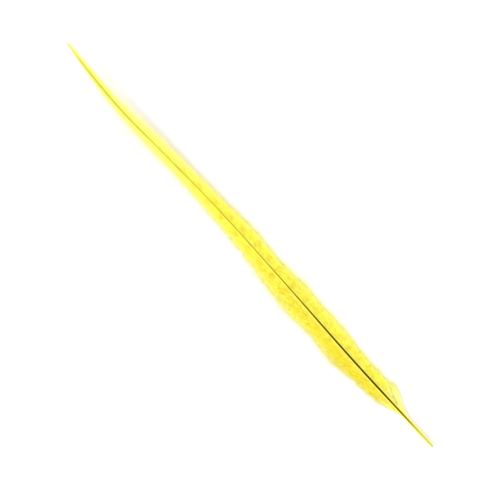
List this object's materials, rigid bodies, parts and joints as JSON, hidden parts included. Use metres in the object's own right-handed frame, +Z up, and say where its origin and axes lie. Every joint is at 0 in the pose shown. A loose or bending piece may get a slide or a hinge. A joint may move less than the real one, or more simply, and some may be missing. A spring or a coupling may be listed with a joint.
{
  "type": "pheasant tail feather",
  "caption": "Long narrow tail feather, dyed yellow, with a dark shaft, barred vanes and a bare quill; lies flat as trim for hats, costumes and displays.",
  "frame": {"origin": "middle of the bounding box, on the surface that the feather lies on", "axes": "+X along the feather from the quill to the tip, +Y towards the wider vane, +Z up from the surface that it lies on"},
  "size_m": [0.544, 0.0354, 0.0187],
  "materials": {
    "feather": "satin"
  },
  "bodies": {
    "root": {"feather": "feather"}
  },
  "joints": []
}
